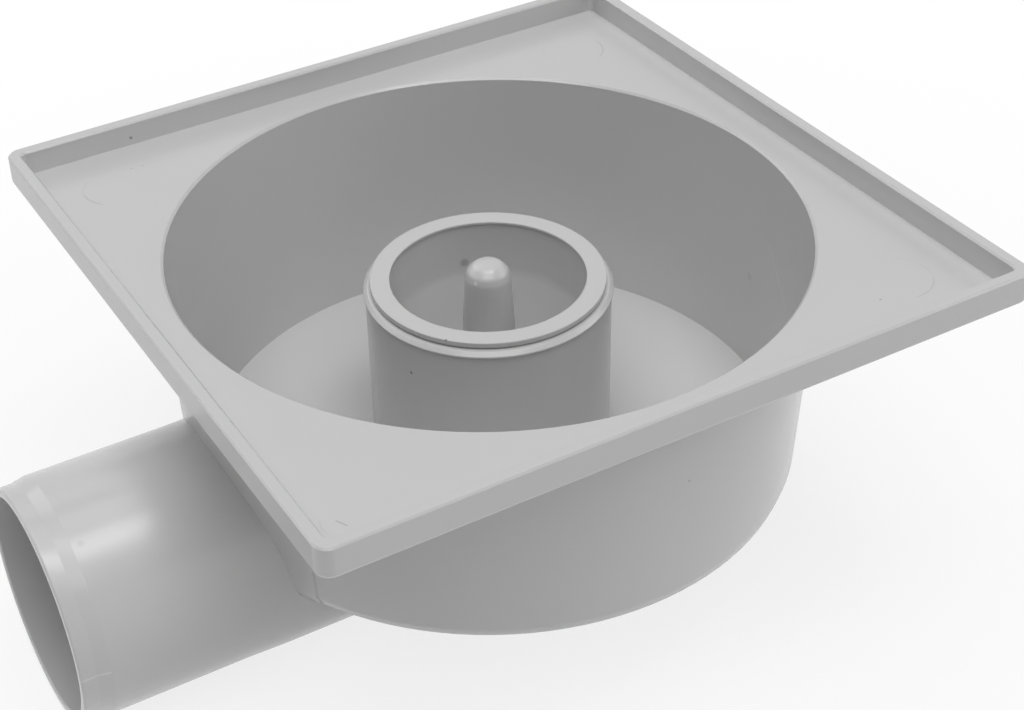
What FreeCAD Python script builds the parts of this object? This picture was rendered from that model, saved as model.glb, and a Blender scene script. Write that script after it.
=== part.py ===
import FreeCAD, Part
import math
import os

# Floor gully trap for a 50 mm drain pipe: one grey moulding and the cup-shaped plug that closes its standpipe.
# Millimetres, +Z up. The origin is on the bowl's axis, level with the underside of the tray, which is the
# level of the screed that carries it. The outlet leaves along -X.

# Square tray that holds the grating
tray_side = 150.0
tray_height = 6.8
tray_corner_radius = 3.0
tray_top_rounding = 0.4
tray_foot_rounding = 1.2
lip_width = 2.7
plate_thickness = 1.4
recess_corner_radius = 1.2

# Round bowl under the tray, drawn in more inside than outside, so that its wall thickens towards the floor
seat_land = 7.2            # narrowest seat for the grating, between the lip and the bowl's mouth
bowl_narrowing = 3.95      # how much smaller the inner radius is at the floor than at the mouth
bowl_floor_drop = 49.2     # from the tray's underside down to the floor
bowl_wall = 1.5            # just under the tray
bowl_foot_wall = 2.9       # at the floor
floor_thickness = 2.2
mouth_rounding = 0.5
bowl_outer_rounding = 4.8

# Standpipe in the middle of the bowl, over whose end the water leaves
standpipe_radius = 25.35
standpipe_wall = 3.1
standpipe_top_drop = 10.8  # from the tray's underside down to the standpipe's end
collar_proud = 0.35
collar_height = 1.5
collar_rounding = 0.8
standpipe_root_rounding = 0.8

# Outlet spigot for the drain pipe's socket, and the duct under the floor with the same bore
pipe_radius = 25.0
outlet_wall = 2.5
duct_wall = 2.7
axis_below_floor = 1.0
outlet_overhang = 29.1     # from the tray's edge to the outlet's end
spigot_step = 0.6          # how much smaller the radius is at the entry end of the outlet
spigot_length = 3.4
spigot_lead = 2.7          # length of the cone between the entry end and the full pipe
socket_depth = 30.0        # length of full pipe that a socket can cover, before the root thickens into the bowl
spigot_rounding = 0.3

# Raised pad that the mould's side core leaves on the bowl, round the root of the outlet
pad_margin = 5.0           # how far the pad reaches past the pipe on each side
pad_proud = 0.35
pad_reach_in = 15.0        # how far it runs in under the floor from the bowl's edge

# Plug: a cup with a ring that rests on the standpipe's end and a grip post in the middle
plug_clearance = 0.2
plug_wall = 1.55
plug_floor_thickness = 1.8
ring_overlap = 2.0         # how far the ring covers the standpipe's end, from its bore outwards
ring_thickness = 1.5
ring_foot_rounding = 0.5
ring_lip = 0.3             # how far the ring's inner edge stands in over the cup's wall
ring_lip_thickness = 0.6
cup_wall_depth = 11.2      # from the ring down to where the cup starts to taper
cup_depth = 26.0
cup_floor_radius = 16.4
post_tip_radius = 4.6
post_draft = 3.2           # degrees
post_tip_rounding = 3.8
post_rise = 3.1            # how far the post's tip stands above the ring

# Places that follow from the sizes
recess_half_side = tray_side / 2 - lip_width
mouth_radius = recess_half_side - seat_land
floor_radius = mouth_radius - bowl_narrowing
bowl_top_radius = mouth_radius + bowl_wall
bowl_foot_radius = floor_radius + bowl_foot_wall
land_middle_radius = (bowl_top_radius + recess_half_side) / 2
floor_z = -bowl_floor_drop
bowl_bottom_z = floor_z - floor_thickness
standpipe_top_z = -standpipe_top_drop
standpipe_bore_radius = standpipe_radius - standpipe_wall
outlet_axis_z = floor_z - axis_below_floor
outlet_bore_radius = pipe_radius - outlet_wall
duct_radius = outlet_bore_radius + duct_wall
outlet_end_x = -(tray_side / 2 + outlet_overhang)
bowl_bottom_edge_x = -(bowl_foot_radius - bowl_outer_rounding)
smallest_arc = 1.1         # a rounding below this size is cut as one flat
bowl_edge_flats = 3        # flats that stand for the bowl's outer rounding, true to 0.15 mm
heel_flats = 4             # flats that stand for the dome of the duct's heel, true to 0.5 mm
post_tip_flats = 3         # flats that stand for the rounding of the post's tip, true to 0.15 mm
overrun = 1.0              # how far a cutting solid runs past what it cuts
same_point = 1e-6

up = FreeCAD.Vector(0, 0, 1)
along_outlet = FreeCAD.Vector(1, 0, 0)


def on_section(radius, z):
    return FreeCAD.Vector(radius, 0, z)


def on_plan(x, y):
    return FreeCAD.Vector(x, y, 0)


def rounding_edges(start, middle, end, flats):
    """The edges of one rounding: its arc, or that many flats in its place."""
    arc = Part.Arc(start, middle, end).toShape()
    if flats == 0:
        return [arc]
    steps = arc.discretize(Number=flats + 1)
    return [Part.makeLine(step, next_step) for step, next_step in zip(steps, steps[1:])]


def rounded_face(corners, place, flats=0):
    """Flat face through (across, along, rounding) corners, tangent to its sides at the rounded ones."""
    points = [place(across, along) for across, along, rounding in corners]
    turns = []
    for here, corner in enumerate(points):
        back, ahead = here - 1, (here + 1) % len(points)
        rounding = corners[here][2]
        if rounding == 0:
            turns.append((corner, None, corner))
            continue
        to_back = points[back] - corner
        to_ahead = points[ahead] - corner
        half_angle = to_back.getAngle(to_ahead) / 2
        room_back = to_back.Length * rounding / (rounding + corners[back][2])
        room_ahead = to_ahead.Length * rounding / (rounding + corners[ahead][2])
        reach = min(rounding / math.tan(half_angle), room_back, room_ahead)
        start = corner + to_back.normalize() * reach
        end = corner + to_ahead.normalize() * reach
        inward = (to_back + to_ahead).normalize()
        middle = corner + inward * (reach / math.cos(half_angle) - reach * math.tan(half_angle))
        turns.append((start, middle, end))
    edges = []
    for here, (start, middle, end) in enumerate(turns):
        if middle is not None:
            edges += rounding_edges(start, middle, end, 1 if corners[here][2] < smallest_arc else flats)
        next_start = turns[(here + 1) % len(turns)][0]
        if end.distanceToPoint(next_start) > same_point:
            edges.append(Part.makeLine(end, next_start))
    return Part.Face(Part.Wire(edges))


def turned(corners, flats=0):
    """Solid turned about the bowl's axis from (radius, z, rounding) corners."""
    return rounded_face(corners, on_section, flats).revolve(on_section(0, 0), up, 360)


def square_block(half_side, corner_radius, low_z, high_z):
    """Upright block with a square plan and rounded corners, about the bowl's axis."""
    plan = [(sx * half_side, sy * half_side, corner_radius) for sx, sy in ((1, 1), (-1, 1), (-1, -1), (1, -1))]
    block = rounded_face(plan, on_plan).extrude(up * (high_z - low_z))
    block.translate(up * low_z)
    return block


def edges_at(shape, z):
    """The edges of a shape that lie all the way round at one height."""
    return [edge for edge in shape.Edges
            if abs(edge.BoundBox.ZMin - z) < same_point and abs(edge.BoundBox.ZMax - z) < same_point]


def tray():
    """Square plate with a lip all round, and a round hole where the bowl's mouth takes over."""
    block = square_block(tray_side / 2, tray_corner_radius, 0, tray_height)
    foot = min(tray_foot_rounding, 0.8 * tray_corner_radius)
    block = block.makeFillet(foot, edges_at(block, 0))
    recess = square_block(recess_half_side, recess_corner_radius, plate_thickness, tray_height + overrun)
    block = block.cut(recess)
    top = min(tray_top_rounding, 0.3 * lip_width, 0.8 * recess_corner_radius)
    block = block.makeChamfer(top, edges_at(block, tray_height))
    hole = Part.makeCylinder(land_middle_radius, plate_thickness + 2 * overrun, on_section(0, -overrun), up)
    return block.cut(hole)


def bowl_with_standpipe():
    """Everything that is round about the upright axis, turned from one section."""
    collar_radius = standpipe_radius + collar_proud
    collar_foot_z = standpipe_top_z - collar_height
    return turned([
        (land_middle_radius, plate_thickness, 0),
        (mouth_radius, plate_thickness, mouth_rounding),
        (floor_radius, floor_z, 0),
        (standpipe_radius, floor_z, standpipe_root_rounding),
        (standpipe_radius, collar_foot_z, 0),
        (collar_radius, collar_foot_z + collar_proud, 0),
        (collar_radius, standpipe_top_z, collar_rounding),
        (standpipe_bore_radius, standpipe_top_z, 0),
        (standpipe_bore_radius, bowl_bottom_z, 0),
        (bowl_foot_radius, bowl_bottom_z, bowl_outer_rounding),
        (bowl_top_radius, 0, 0),
        (land_middle_radius, 0, 0),
    ], bowl_edge_flats)


def inside_bowl():
    """Plug of the bowl's hollow that ends half way into its wall and floor, for clearing what runs in."""
    middle_z = floor_z - floor_thickness / 2
    return turned([
        (0, plate_thickness, 0),
        ((mouth_radius + bowl_top_radius) / 2, plate_thickness, 0),
        ((floor_radius + bowl_foot_radius) / 2, middle_z, 0),
        (0, middle_z, 0),
    ])


def duct_and_outlet():
    """Pipe with a domed heel under the standpipe, turned about the outlet's own axis from one section."""
    spigot_radius = pipe_radius - spigot_step
    spigot_end_x = outlet_end_x + spigot_length
    full_pipe_x = spigot_end_x + spigot_lead
    root_x = full_pipe_x + socket_depth
    section = [
        (outlet_end_x, outlet_bore_radius, spigot_rounding),
        (outlet_end_x, spigot_radius, spigot_rounding),
        (spigot_end_x, spigot_radius, 0),
        (full_pipe_x, pipe_radius, 0),
        (root_x, pipe_radius, 0),
        (bowl_bottom_edge_x, duct_radius, 0),
        (0, duct_radius, 0),
        (duct_radius, duct_radius, duct_radius),
        (duct_radius, 0, 0),
        (outlet_bore_radius, 0, 0),
        (outlet_bore_radius, outlet_bore_radius, outlet_bore_radius),
        (0, outlet_bore_radius, 0),
    ]
    pipe = rounded_face(section, on_section, heel_flats).revolve(on_section(0, 0), along_outlet, 360)
    pipe.translate(up * outlet_axis_z)
    return pipe


def core_pad():
    """Slightly raised pad on the bowl's outside, the width of the mould core that forms the outlet."""
    grown = turned([
        (0, bowl_bottom_z - pad_proud, 0),
        (bowl_foot_radius + pad_proud, bowl_bottom_z - pad_proud, bowl_outer_rounding + pad_proud),
        (bowl_top_radius + pad_proud, 0, 0),
        (bowl_top_radius + pad_proud, plate_thickness / 2, 0),
        (0, plate_thickness / 2, 0),
    ], bowl_edge_flats)
    width = 2 * (pipe_radius + pad_margin)
    depth = tray_side / 2 - bowl_foot_radius + pad_reach_in
    height = plate_thickness + bowl_floor_drop + floor_thickness + 2 * overrun
    corner = FreeCAD.Vector(-tray_side / 2, -width / 2, bowl_bottom_z - overrun)
    pad = grown.common(Part.makeBox(depth, width, height, corner))
    pipe_start = FreeCAD.Vector(outlet_end_x, 0, outlet_axis_z)
    pipe_path = Part.makeCylinder(pipe_radius - outlet_wall / 2, -outlet_end_x, pipe_start, along_outlet)
    return pad.cut(pipe_path)


def gully_body():
    """The moulding: tray, bowl, standpipe, duct and outlet in one piece."""
    side_parts = duct_and_outlet().fuse(core_pad()).cut(inside_bowl())
    return tray().fuse([bowl_with_standpipe(), side_parts]).removeSplitter()


def standpipe_plug():
    """Turned cup that hangs by its ring on the standpipe's end, with a domed post to lift it by."""
    sleeve_radius = standpipe_bore_radius - plug_clearance
    cup_radius = sleeve_radius - plug_wall
    hole_radius = cup_radius - ring_lip
    ring_radius = standpipe_bore_radius + ring_overlap
    ring_top_z = standpipe_top_z + ring_thickness
    lip_foot_z = ring_top_z - ring_lip_thickness
    shoulder_z = ring_top_z - cup_wall_depth
    cup_floor_z = ring_top_z - cup_depth
    post_tip_z = ring_top_z + post_rise
    post_foot_radius = post_tip_radius + (post_tip_z - cup_floor_z) * math.tan(math.radians(post_draft))
    return turned([
        (0, post_tip_z, 0),
        (post_tip_radius, post_tip_z, post_tip_rounding),
        (post_foot_radius, cup_floor_z, 0),
        (cup_floor_radius, cup_floor_z, 0),
        (cup_radius, shoulder_z, 0),
        (cup_radius, lip_foot_z, 0),
        (hole_radius, lip_foot_z, 0),
        (hole_radius, ring_top_z, 0),
        (ring_radius, ring_top_z, 0),
        (ring_radius, standpipe_top_z, ring_foot_rounding),
        (sleeve_radius, standpipe_top_z, 0),
        (sleeve_radius, shoulder_z, 0),
        (cup_floor_radius + plug_wall, cup_floor_z - plug_floor_thickness, 0),
        (0, cup_floor_z - plug_floor_thickness, 0),
    ], post_tip_flats)


os.makedirs("parts", exist_ok=True)
gully_body().exportStep("parts/gully_body.step")
standpipe_plug().exportStep("parts/standpipe_plug.step")
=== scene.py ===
import math

import bpy
from mathutils import Matrix, Vector


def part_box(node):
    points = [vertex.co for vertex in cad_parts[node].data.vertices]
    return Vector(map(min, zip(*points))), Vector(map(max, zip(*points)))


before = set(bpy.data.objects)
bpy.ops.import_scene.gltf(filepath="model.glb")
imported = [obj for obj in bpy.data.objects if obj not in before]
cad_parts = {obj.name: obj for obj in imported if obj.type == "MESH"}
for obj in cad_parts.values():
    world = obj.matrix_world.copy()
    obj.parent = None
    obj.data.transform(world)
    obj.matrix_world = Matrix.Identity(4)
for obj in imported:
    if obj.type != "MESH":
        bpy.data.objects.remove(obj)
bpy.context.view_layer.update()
mm = 0.001
white = (1.0, 1.0, 1.0, 1.0)


class Value:
    """A number or a colour that changes over a surface: one socket of a node tree, with Python's arithmetic."""

    def __init__(self, tree, socket):
        self.tree = tree
        self.socket = socket

    def math(self, operation, *others):
        return node(self.tree, "ShaderNodeMath", {"operation": operation}, [self, *others])

    def __add__(self, other):
        return self.math("ADD", other)

    def __sub__(self, other):
        return self.math("SUBTRACT", other)

    def __mul__(self, other):
        return self.math("MULTIPLY", other)

    def __rsub__(self, other):
        return node(self.tree, "ShaderNodeMath", {"operation": "SUBTRACT"}, [other, self])

    __radd__ = __add__
    __rmul__ = __mul__

    def __abs__(self):
        return self.math("ABSOLUTE")

    def atleast(self, other):
        return self.math("MAXIMUM", other)

    def atmost(self, other):
        return self.math("MINIMUM", other)

    def beyond(self, other):
        return self.math("GREATER_THAN", other)

    def fade(self, start, end, low=0.0, high=1.0):
        """Runs smoothly from low to high as this value goes from start to end."""
        sockets = {"Value": self, "From Min": start, "From Max": end, "To Min": low, "To Max": high}
        return node(self.tree, "ShaderNodeMapRange", {"interpolation_type": "SMOOTHSTEP"}, sockets, "Result")


def node(tree, kind, settings=None, inputs=(), output=0):
    """Adds a node: its settings first, then the value or link of each socket. Gives back one of its outputs."""
    made = tree.nodes.new(kind)
    for name, setting in (settings or {}).items():
        setattr(made, name, setting)
    for name, given in inputs.items() if isinstance(inputs, dict) else enumerate(inputs):
        if isinstance(given, Value):
            tree.links.new(given.socket, made.inputs[name])
        elif given is not None:
            made.inputs[name].default_value = given
    return None if output is None else Value(tree, made.outputs[output])


def empty_tree(owner):
    """The node tree of a material or a world, with nothing in it."""
    owner.use_nodes = True
    owner.node_tree.nodes.clear()
    return owner.node_tree


def vector(tree, operation, first, second=None, output=0):
    inputs = {0: first, "Scale": second} if operation == "SCALE" else [first, second]
    return node(tree, "ShaderNodeVectorMath", {"operation": operation}, inputs, output)


def noise(tree, place, scale, detail):
    """Soft cloudy noise from 0 to 1, scale in cycles to the metre."""
    inputs = {"Vector": place, "Scale": scale, "Detail": detail, "Roughness": 0.5}
    return node(tree, "ShaderNodeTexNoise", {"normalize": True}, inputs, "Fac")


def grey(tree, lightness):
    """A grey colour of a varying lightness."""
    return node(tree, "ShaderNodeCombineColor", {"mode": "RGB"}, [lightness, lightness, lightness])


# Shapes of marks on the plastic: each is 1 on the mark and fades out around it

def within(distance, reach):
    """1 where a distance is under a reach, fading out from half of it to one and a half times it."""
    return distance.fade(reach * 0.5, reach * 1.5, 1.0, 0.0)


def speck(tree, place, centre, radius):
    """A round spot."""
    return within(vector(tree, "DISTANCE", place, centre, "Value"), radius)


def stroke(tree, place, start, end, half_width):
    """A straight stroke between two points."""
    along = Vector(end) - Vector(start)
    from_start = vector(tree, "SUBTRACT", place, start)
    share = vector(tree, "DOT_PRODUCT", from_start, along / along.length_squared, "Value")
    nearest = vector(tree, "SCALE", tuple(along), share.atleast(0.0).atmost(1.0))
    return within(vector(tree, "DISTANCE", from_start, nearest, "Value"), half_width)


def arc(tree, place, centre, radius, start, end, half_width):
    """Part of a circle that lies level, from one angle to another in degrees, with ends that fade."""
    from_centre = vector(tree, "SUBTRACT", place, centre)
    middle, half_angle = math.radians((start + end) / 2), math.radians((end - start) / 2)
    towards_middle = (math.cos(middle) / radius, math.sin(middle) / radius, 0.0)
    cosine = vector(tree, "DOT_PRODUCT", from_centre, towards_middle, "Value")
    soft_end = math.radians(9.0)
    between = cosine.fade(math.cos(half_angle + soft_end), math.cos(max(half_angle - soft_end, 0.0)))
    off_circle = abs(vector(tree, "LENGTH", from_centre, output="Value") - radius)
    return within(off_circle, half_width) * between


# The marks on this trap, in millimetres

recess_floor = 1.4          # height of the tray's plate
pin_places = (57.2, 57.0)   # of the ejector pins, one near each corner of the plate
pin_radius = 7.0
pin_line = 0.2              # half width of what is left of the pins' circles
pin_arcs = [  # corner, start and end in degrees, how dark
    (1, 1, 139, 176, 0.05), (1, 1, -60, 2, 0.14),
    (-1, 1, 133, 165, 0.06), (-1, 1, 175, 222, 0.16),
    (1, -1, 25, 40, 0.05), (1, -1, -15, 10, 0.05), (1, -1, 262, 328, 0.1),
]
strokes = [  # start, end, half width, how dark
    ((-66.5, -63.55, 1.4), (-65.5, -65.5, 1.4), 0.15, 0.25),        # scratches in the tray's near corner
    ((-68.9, -62.1, 1.4), (-69.4, -63.8, 1.4), 0.15, 0.05),
    ((-69.4, -63.8, 1.4), (-69.3, -65.4, 1.4), 0.15, 0.05),
    ((-103.8, -24.3, -50.2), (-98.3, -24.8, -50.1), 0.25, -0.15),   # flash where the mould's halves met: a real ridge, with a painted highlight along it that lightens its colour
    ((-103.8, 24.3, -50.2), (-98.3, 24.8, -50.1), 0.25, -0.15),
    ((62.38, -12.4, -17.14), (60.37, -18.97, -21.74), 0.4, -0.04),  # a light rub inside the bowl
    ((60.37, -18.97, -21.74), (57.82, -25.03, -25.02), 0.4, -0.04),
]
body_specks = [  # centre, radius, how dark
    ((50.0, -61.0, 1.4), 0.25, 0.3),
    ((-47.5, 72.3, 3.1), 0.35, 0.5),
    ((-23.5, -9.35, -19.05), 0.3, 0.6),
    ((4.0, -65.5, -19.6), 0.25, 0.3),
    ((-104.1, -4.02, -27.46), 0.4, 0.2),    # a nick in the outlet's rim
    ((62.4, -6.8, -28.3), 0.8, 0.1),
    ((-96.2, -12.2, -28.4), 0.6, 0.12),
    ((-51.5, 62.7, 1.4), 0.25, 0.2),
    ((-49.0, 62.6, 1.4), 0.25, 0.2),
]
plug_specks = [
    ((-18.65, -15.4, -9.3), 0.25, 0.6),
    ((5.6, 19.7, -19.2), 0.9, 0.3),         # a dark spot on the cup's far wall, left of the post
    ((-4.06, -1.95, -8.89), 0.4, -0.25),    # a light nick in the post's head
]
mark_depth = 0.03           # of a mark that is as dark as can be


def in_metres(point):
    return tuple(length * mm for length in point)


def specks(tree, place, listed):
    """How dark the listed specks are together."""
    darkness = 0.0
    for centre, radius, strength in listed:
        darkness = speck(tree, place, in_metres(centre), radius * mm) * strength + darkness
    return darkness


def plug_marks(tree, place):
    """How dark the plug's marks are, and their height."""
    return specks(tree, place, plug_specks), 0.0


def body_marks(tree, place):
    """How dark the body's marks are, and their height: dark ones are sunk and light ones stand proud."""
    darkness = specks(tree, place, body_specks)
    for start, end, half_width, strength in strokes:
        darkness = stroke(tree, place, in_metres(start), in_metres(end), half_width * mm) * strength + darkness
    for side_x, side_y, start, end, strength in pin_arcs:
        centre = in_metres((side_x * pin_places[0], side_y * pin_places[1], recess_floor))
        circle = arc(tree, place, centre, pin_radius * mm, start, end, pin_line * mm)
        darkness = circle * strength + darkness
    return darkness, darkness * (-mark_depth * mm)


# Moulded plastic

plastic_lightness = 0.57
plastic_roughness = 0.22
plastic_ior = 1.5
cloud_scale, cloud_detail = 45.0, 3.0       # broad unevenness of the mould's finish
grain_scale, grain_detail = 900.0, 2.0      # fine grain of the mould's finish
cloud_tint = 0.03
cloud_dulling, grain_dulling = 0.04, 0.02
grain_height = 0.0004 * mm


def moulded_plastic(name, marks, edge_radius):
    """Smooth grey plastic with marks and softened edges."""
    material = bpy.data.materials.new(name)
    tree = empty_tree(material)
    place = node(tree, "ShaderNodeTexCoord", output="Object")
    clouds = noise(tree, place, cloud_scale, cloud_detail)
    grain = noise(tree, place, grain_scale, grain_detail)
    darkness, height = marks(tree, place)
    lightness = plastic_lightness * (1.0 + cloud_tint * (clouds - 0.5)) * (1.0 - darkness)
    rough = plastic_roughness + cloud_dulling * (clouds - 0.5) + grain_dulling * (grain - 0.5)
    relief = grain * grain_height + height
    rounded = node(tree, "ShaderNodeBevel", {"samples": 4}, {"Radius": edge_radius})
    normal = node(tree, "ShaderNodeBump", {}, {"Distance": 1.0, "Height": relief, "Normal": rounded})
    shader = node(tree, "ShaderNodeBsdfPrincipled", {}, {
        "Base Color": grey(tree, lightness), "Roughness": rough, "Normal": normal, "IOR": plastic_ior})
    node(tree, "ShaderNodeOutputMaterial", {}, {"Surface": shader}, None)
    return material


# Shading of the flats that stand for roundings

sharpest_round_turn = math.radians(34.0)
sharpest_entry_turn = math.radians(7.0)
entry_end = -97.5 * mm      # the outlet's entry end and its cone lie beyond this


def round_turns():
    """Shades gentle turns as round, and on the outlet's entry end only the very gentle ones."""
    tree = bpy.data.node_groups.new("round_turns", "GeometryNodeTree")
    for direction in ("INPUT", "OUTPUT"):
        tree.interface.new_socket("Geometry", in_out=direction, socket_type="NodeSocketGeometry")
    given = node(tree, "NodeGroupInput")
    joined = node(tree, "GeometryNodeMergeByDistance", {}, {"Geometry": given, "Distance": 0.005 * mm})
    plain = node(tree, "GeometryNodeRemoveAttribute", {}, {"Geometry": joined, "Name": "custom_normal"})
    faces = node(tree, "GeometryNodeSetShadeSmooth", {"domain": "FACE"}, {0: plain, "Shade Smooth": True})
    place = node(tree, "GeometryNodeInputPosition")
    past_entry = node(tree, "ShaderNodeSeparateXYZ", {}, [place], "X").beyond(entry_end)
    allowed = past_entry * (sharpest_round_turn - sharpest_entry_turn) + sharpest_entry_turn
    turn = node(tree, "GeometryNodeInputMeshEdgeAngle")
    gentle = node(tree, "FunctionNodeCompare", {"operation": "LESS_THAN"}, {"A": turn, "B": allowed})
    edges = node(tree, "GeometryNodeSetShadeSmooth", {"domain": "EDGE"}, {0: faces, "Shade Smooth": gentle})
    node(tree, "NodeGroupOutput", {}, [edges], None)
    return tree


def dress(piece, plastic, turns):
    """Gives a piece of the trap its plastic and its shading."""
    piece.data.materials.clear()
    piece.data.materials.append(plastic)
    piece.modifiers.new("round_turns", "NODES").node_group = turns
    even = piece.modifiers.new("even_normals", "WEIGHTED_NORMAL")
    even.keep_sharp = True


# Floor and surroundings

floor_reach = 3.0
floor_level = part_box("gully_body")[0].z
paper_colour = (0.95, 0.95, 0.95, 1.0)
near_glow = 0.8                     # share of plain white in the floor by the trap, where its shadow falls
glow_start, glow_end = 0.06, 0.28   # distances from the trap between which that share goes up to all


def seen_directly(tree):
    """1 for what the camera sees, straight or in a reflection, and 0 for the light that falls on things."""
    rays = ("Is Camera Ray", "Is Glossy Ray", "Is Transmission Ray")
    straight, mirrored, through = (node(tree, "ShaderNodeLightPath", output=ray) for ray in rays)
    return straight.atleast(mirrored).atleast(through)


def floor_material():
    material = bpy.data.materials.new("pale_floor")
    tree = empty_tree(material)
    paper = node(tree, "ShaderNodeBsdfDiffuse", {}, {"Color": paper_colour})
    glow = node(tree, "ShaderNodeEmission", {}, {"Color": white, "Strength": 1.0})
    place = node(tree, "ShaderNodeTexCoord", output="Object")
    away = vector(tree, "DISTANCE", place, (0.0, 0.0, floor_level), "Value")
    share = seen_directly(tree) * away.fade(glow_start, glow_end, near_glow, 1.0)
    both = node(tree, "ShaderNodeMixShader", {}, [share, paper, glow])
    node(tree, "ShaderNodeOutputMaterial", {}, {"Surface": both}, None)
    return material


def make_floor():
    mesh = bpy.data.meshes.new("floor")
    sides = ((-1, -1), (1, -1), (1, 1), (-1, 1))
    corners = [(x * floor_reach, y * floor_reach, floor_level) for x, y in sides]
    mesh.from_pydata(corners, [], [(0, 1, 2, 3)])
    mesh.materials.append(floor_material())
    floor = bpy.data.objects.new("floor", mesh)
    bpy.context.scene.collection.objects.link(floor)


def make_world():
    """White where it is seen, and without light of its own."""
    world = bpy.data.worlds.new("studio")
    tree = empty_tree(world)
    unlit = node(tree, "ShaderNodeBackground", {}, {"Color": white, "Strength": 0.0})
    shown = node(tree, "ShaderNodeBackground", {}, {"Color": white, "Strength": 1.0})
    both = node(tree, "ShaderNodeMixShader", {}, [seen_directly(tree), unlit, shown])
    node(tree, "ShaderNodeOutputWorld", {}, {"Surface": both}, None)
    bpy.context.scene.world = world


lamp_distance = 1.2
lamps = [  # name, heading in degrees from +Y towards +X, degrees above level, size, power
    ("top_panel", 27.5, 89.0, 1.0, 4.9),
    ("key_lamp", 144.5, 74.2, 0.36, 1.2),
    ("front_panel", 207.5, 62.0, 1.0, 6.9),
    ("right_panel", 117.5, 15.0, 0.8, 4.1),
    ("back_left_panel", 342.5, 38.0, 0.8, 3.0),
    ("left_panel", 297.5, 15.0, 0.8, 1.6),
]


def direction(heading, height):
    """The direction with a heading from +Y towards +X and a height above level, both in degrees."""
    heading, height = math.radians(heading), math.radians(height)
    level = math.cos(height)
    return Vector((math.sin(heading) * level, math.cos(heading) * level, math.sin(height)))


def soft_light(name, heading, height, size, power):
    """A square lamp panel that faces the trap."""
    lamp = bpy.data.lights.new(name, "AREA")
    lamp.shape = "SQUARE"
    lamp.size = size
    lamp.energy = power
    panel = bpy.data.objects.new(name, lamp)
    towards = direction(heading, height)
    panel.location = towards * lamp_distance
    panel.rotation_mode = "QUATERNION"
    panel.rotation_quaternion = towards.to_track_quat("Z", "Y")
    panel.visible_camera = False
    bpy.context.scene.collection.objects.link(panel)


# The place and the turn that the photograph was taken from
camera_place = (-0.16509, -0.28712, 0.21054)
camera_heading = 27.51      # degrees from +Y towards +X
camera_down = 35.339        # degrees below level
camera_roll = -2.795
camera_lens = 68.255        # on a sensor 36 mm wide
camera_shift = (0.0866, -0.0176)


def make_camera():
    camera = bpy.data.objects.new("camera", bpy.data.cameras.new("camera"))
    forward = direction(camera_heading, -camera_down)
    level = forward.cross(Vector((0, 0, 1))).normalized()
    roll = math.radians(camera_roll)
    right = math.cos(roll) * level + math.sin(roll) * level.cross(forward)
    turn = Matrix((right, right.cross(forward), -forward)).transposed().to_4x4()
    camera.matrix_world = Matrix.Translation(camera_place) @ turn
    camera.data.sensor_width = 36.0
    camera.data.lens = camera_lens
    camera.data.shift_x, camera.data.shift_y = camera_shift
    camera.data.clip_start = 0.01
    bpy.context.scene.collection.objects.link(camera)
    bpy.context.scene.camera = camera


turns = round_turns()
dress(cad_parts["gully_body"], moulded_plastic("grey_moulding", body_marks, 0.2 * mm), turns)
dress(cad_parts["standpipe_plug"], moulded_plastic("grey_plug", plug_marks, 0.45 * mm), turns)
make_floor()
make_world()
for lamp in lamps:
    soft_light(*lamp)
make_camera()
bpy.context.scene.view_settings.view_transform = "Standard"
